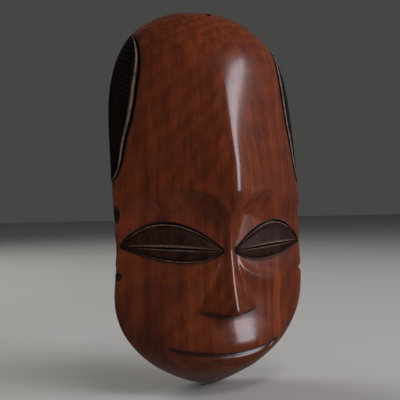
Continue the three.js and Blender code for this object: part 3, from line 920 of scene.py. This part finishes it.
def growth_rings(n):
    """Rings round a pith line behind the face, tilted so that they arch over the forehead."""
    wander = n.noise((9, 9, 4), 2.0)
    split = n.add("ShaderNodeSeparateXYZ")
    n.join(n.place, split.inputs[0])
    sideways = n.math("ADD", split.outputs[0], n.math("MULTIPLY", wander, 0.05))
    inwards = n.math("ADD", n.math("MULTIPLY", split.outputs[2], 0.30), split.outputs[1])
    inwards = n.math("ADD", inwards, -0.06)
    radius = n.math("SQRT", n.math("ADD", n.math("MULTIPLY", sideways, sideways),
                                   n.math("MULTIPLY", inwards, inwards)))
    phase = n.math("ADD", n.math("MULTIPLY", radius, 900.0), n.math("MULTIPLY", wander, 14.0))
    return n.math("MULTIPLY_ADD", n.math("SINE", phase), 0.5, 0.5)


def wood_grain(n):
    """Fibres, streaks and pores, all running up the mask."""
    fibres = n.noise((1500, 1500, 42), 4.0, 0.6)
    streaks = n.noise((210, 210, 7), 3.0, 0.55, 0.3)
    patches = n.noise((26, 26, 9), 2.0)
    pores = n.ramp(n.noise((2300, 2300, 120), 1.5), 0.60, 0.72)
    return fibres, streaks, patches, pores


def polished_wood(name):
    n = Nodes(name)
    fibres, streaks, patches, pores = wood_grain(n)
    rings = growth_rings(n)
    tone = n.math("ADD", n.math("MULTIPLY", streaks, 0.50), n.math("MULTIPLY", patches, 0.35))
    tone = n.math("ADD", tone, n.math("MULTIPLY", rings, 0.055))
    tone = n.math("ADD", tone, n.math("MULTIPLY", fibres, 0.22))
    colour = n.blend(WOOD_DARK, WOOD_LIGHT, n.ramp(tone, 0.36, 0.86))
    colour = n.blend(colour, WOOD_PORE, n.math("MULTIPLY", pores, 0.85))
    # Darkening read from the attributes: dark staining with painted shade in grooves and holes, and
    # painted shade in creases.
    stain_and_shade, painted_shade = n.value("stain_and_shade"), n.value("painted_shade")
    mottled_shade = n.math("MULTIPLY", painted_shade, n.ramp(fibres, 0.2, 0.6, 0.75, 1.0))
    colour = n.blend(colour, SHADE_COLOUR, n.math("MULTIPLY", mottled_shade, 0.80))
    colour = n.blend(colour, DARK_STAIN_AND_SHADE, n.math("MULTIPLY", stain_and_shade, 0.93))
    rough = n.math("MULTIPLY_ADD", fibres, 0.15, 0.205)
    rough = n.math("MULTIPLY_ADD", pores, 0.14, rough)
    rough = n.math("MULTIPLY_ADD", n.math("MAXIMUM", stain_and_shade, painted_shade), 0.22, rough)
    height = n.math("MULTIPLY_ADD", pores, -0.8, n.math("MULTIPLY", fibres, 0.35))
    height = n.math("MULTIPLY_ADD", streaks, 0.5, height)
    n.bump(height, 0.35, 0.00022)
    return n.finish(colour, rough, coat=0.80, coat_roughness=0.175, specular=0.22)


def raw_wood(name):
    """The hollow and the rim, cut with a gouge and left without polish."""
    n = Nodes(name)
    _, streaks, patches, pores = wood_grain(n)
    tone = n.math("ADD", n.math("MULTIPLY", streaks, 0.5), n.math("MULTIPLY", patches, 0.5))
    colour = n.blend(RAW_DARK, RAW_LIGHT, n.ramp(tone, 0.32, 0.70))
    colour = n.blend(colour, RAW_PORE, n.math("MULTIPLY", pores, 0.65))
    torn = n.noise((900, 900, 160), 5.0, 0.7)
    colour = n.blend(colour, RAW_TORN, n.ramp(torn, 0.52, 0.72, 0.0, 0.5))
    height = n.math("MULTIPLY_ADD", pores, -1.0, n.math("MULTIPLY", torn, 1.2))
    n.bump(height, 0.55, 0.0004)
    return n.finish(colour, n.math("MULTIPLY_ADD", torn, 0.2, 0.62), specular=0.35)


def stained_wood(name, dark, light, worn_highlight_colour, roughness):
    """Dark-stained wood, rubbed through on raised rims, whose lighter colour is also a painted
    highlight.
    """
    n = Nodes(name)
    fibres, streaks, _, pores = wood_grain(n)
    tone = n.math("MULTIPLY_ADD", streaks, 0.5, n.math("MULTIPLY", fibres, 0.5))
    colour = n.blend(dark, light, n.ramp(tone, 0.35, 0.7))
    broken = n.ramp(n.noise((420, 420, 160), 3.0), 0.30, 0.58, 0.35, 1.0)
    # rubbed rims get the lighter colour: wear plus painted highlight
    rubbed_and_highlit = n.math("MULTIPLY", n.value("worn_and_highlit"), broken)
    colour = n.blend(colour, worn_highlight_colour, n.math("MULTIPLY", rubbed_and_highlit, 0.85, clamp=True))
    colour = n.blend(colour, CUT_SHADOW, n.math("MULTIPLY", n.value("cut"), 0.75))
    rough = n.math("MULTIPLY_ADD", fibres, 0.18, roughness)
    rough = n.math("MULTIPLY_ADD", n.value("cut"), 0.2, rough)
    height = n.math("MULTIPLY_ADD", pores, -0.6, n.math("MULTIPLY", fibres, 0.6))
    n.bump(height, 0.4, 0.0002)
    return n.finish(colour, rough, specular=0.10)


# ---- the mask ------------------------------------------------------------------------------------
BLOCK_CREASE, INLAY_CREASE = math.radians(42), math.radians(50)

wood = polished_wood("polished_wood")
back_wood = raw_wood("unpolished_wood")
lid_wood = stained_wood("stained_lid_wood", LID_DARK, LID_LIGHT, LID_WORN_HIGHLIGHT, LID_ROUGHNESS)
panel_wood = stained_wood("stained_panel_wood", HAIR_DARK, HAIR_LIGHT, HAIR_WORN_HIGHLIGHT, HAIR_ROUGHNESS)

block = make_object("carved_block", *block_mesh())
cutters = [cut(side) for side in (1, -1) for cut in (eye_pocket, panel_pocket, ear_pocket)]
block = without_cuts(block, cutters + list(notch_cutters()) + [bore_cutter()])
block.data.set_sharp_from_angle(angle=BLOCK_CREASE)
shade_block(block)
block.data.materials.append(wood)
block.data.materials.append(back_wood)
rough_cut = np.empty(len(block.data.vertices), dtype=np.float32)
block.data.attributes["rough_cut"].data.foreach_get("value", rough_cut)
for face in block.data.polygons:
    face.material_index = int(min(rough_cut[v] for v in face.vertices) > 0.5)
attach(block, "root")
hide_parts("mask_body")

for word, side in (("right", 1), ("left", -1)):
    upper = eyelid(f"{word}_upper_lid", side, 1, UPPER_ARCH, UPPER_PEAK, UPPER_BULGE)
    lower = eyelid(f"{word}_lower_lid", side, -1, LOWER_ARCH, LOWER_PEAK, LOWER_BULGE)
    pieces = (
        ("upper_eyelid", upper, lid_wood),
        ("lower_eyelid", lower, lid_wood),
        ("hair_panel", hair_panel(f"{word}_hair", side), panel_wood),
        ("ear", ear(f"{word}_carved_ear", side), wood),
    )
    for part, piece, material in pieces:
        piece.data.set_sharp_from_angle(angle=INLAY_CREASE)
        piece.data.materials.append(material)
        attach(piece, "root")
        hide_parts(f"{word}_{part}")


# ---- floor, light and camera ---------------------------------------------------------------------
def look(obj, place, target):
    obj.location = place
    obj.rotation_euler = (Vector(target) - Vector(place)).to_track_quat("-Z", "Y").to_euler()


def around(azimuth, elevation, distance):
    """A point round the middle of the mask; azimuth 0 is in front and 90 is on its right."""
    a, e = math.radians(azimuth), math.radians(elevation)
    return Vector((
        math.sin(a) * math.cos(e) * distance,
        -math.cos(a) * math.cos(e) * distance,
        math.sin(e) * distance,
    )) + Vector((0, 0, MIDDLE_Z))


def soft_light(name, azimuth, elevation, distance, width, height, power, colour, in_gloss):
    data = bpy.data.lights.new(name, "AREA")
    data.shape = "RECTANGLE"
    data.size, data.size_y = width, height
    data.energy, data.color = power, colour
    lamp = bpy.data.objects.new(name, data)
    bpy.context.scene.collection.objects.link(lamp)
    look(lamp, around(azimuth, elevation, distance), (0, 0, MIDDLE_Z))
    lamp.visible_camera = False
    lamp.visible_glossy = in_gloss


FLOOR_SIZE, FLOOR_GAP = 12.0, 0.0005
floor_z = block_low.z - FLOOR_GAP
floor_mesh = bpy.data.meshes.new("floor")
half = FLOOR_SIZE / 2
floor_corners = [(-half, -half), (half, -half), (half, half), (-half, half)]
floor_mesh.from_pydata([(x, y, floor_z) for x, y in floor_corners], [], [(0, 1, 2, 3)])
floor = bpy.data.objects.new("floor", floor_mesh)
bpy.context.scene.collection.objects.link(floor)
pale = Nodes("pale_floor")
cloud = pale.noise((3, 3, 3), 3.0)
floor_mesh.materials.append(pale.finish(
    pale.blend(FLOOR_DARK, FLOOR_LIGHT, cloud), 0.75, specular=0.2,
))
floor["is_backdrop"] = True
floor.visible_glossy = False

# Each lamp: name, azimuth, elevation, distance, width, height, watts, colour, seen in the gloss.
LAMPS = (
    ("key", 46, 17, 2.4, 1.24, 1.62, 40.0, (0.92, 0.90, 1.0), True),
    ("side_glow", 85, 20, 1.5, 0.8, 1.2, 2.0, (1.0, 0.90, 0.80), False),
    ("overhead", 10, 64, 1.5, 0.6, 0.5, 4.5, (1.0, 0.97, 0.95), False),
    ("back_fill", 205, 38, 1.9, 1.2, 1.0, 14.0, (1.0, 0.98, 0.95), False),
)
for lamp_settings in LAMPS:
    soft_light(*lamp_settings)

world = bpy.data.worlds.new("studio")
world.use_nodes = True
world.node_tree.nodes["Background"].inputs["Color"].default_value = (0.36, 0.36, 0.35, 1)
world.node_tree.nodes["Background"].inputs["Strength"].default_value = 0.17
bpy.context.scene.world = world
bpy.context.scene.view_settings.view_transform = "Standard"

CAMERA_TURN, CAMERA_TILT, CAMERA_ROLL = -25, -0.3645, -0.793  # degrees
CAMERA_DISTANCE, CAMERA_STEP_RIGHT = 0.5776, 0.000374
AIM_FORWARD, AIM_DROP = 0.00485, 0.00105  # from the wall plane and the middle of the face
FOCAL_LENGTH, SENSOR_WIDTH = 63.0, 36.0
turn, tilt, roll = (math.radians(angle) for angle in (CAMERA_TURN, CAMERA_TILT, CAMERA_ROLL))
back = Vector((math.sin(turn) * math.cos(tilt), -math.cos(turn) * math.cos(tilt), math.sin(tilt)))
right = Vector((math.cos(turn), math.sin(turn), 0))
up = back.cross(right)
right, up = (
    math.cos(roll) * right + math.sin(roll) * up,
    -math.sin(roll) * right + math.cos(roll) * up,
)
lens_data = bpy.data.cameras.new("camera")
lens_data.lens, lens_data.sensor_width = FOCAL_LENGTH, SENSOR_WIDTH
camera = bpy.data.objects.new("camera", lens_data)
bpy.context.scene.collection.objects.link(camera)
aim = Vector((0, WALL_Y - AIM_FORWARD, MIDDLE_Z - AIM_DROP))
stand = aim + back * CAMERA_DISTANCE + right * CAMERA_STEP_RIGHT
facing = Matrix((right, up, back)).transposed().to_4x4()
camera.matrix_world = Matrix.Translation(stand) @ facing
bpy.context.scene.camera = camera

seen_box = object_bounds()
str([[list(corner) for corner in box] for box in (cad_box, seen_box)])
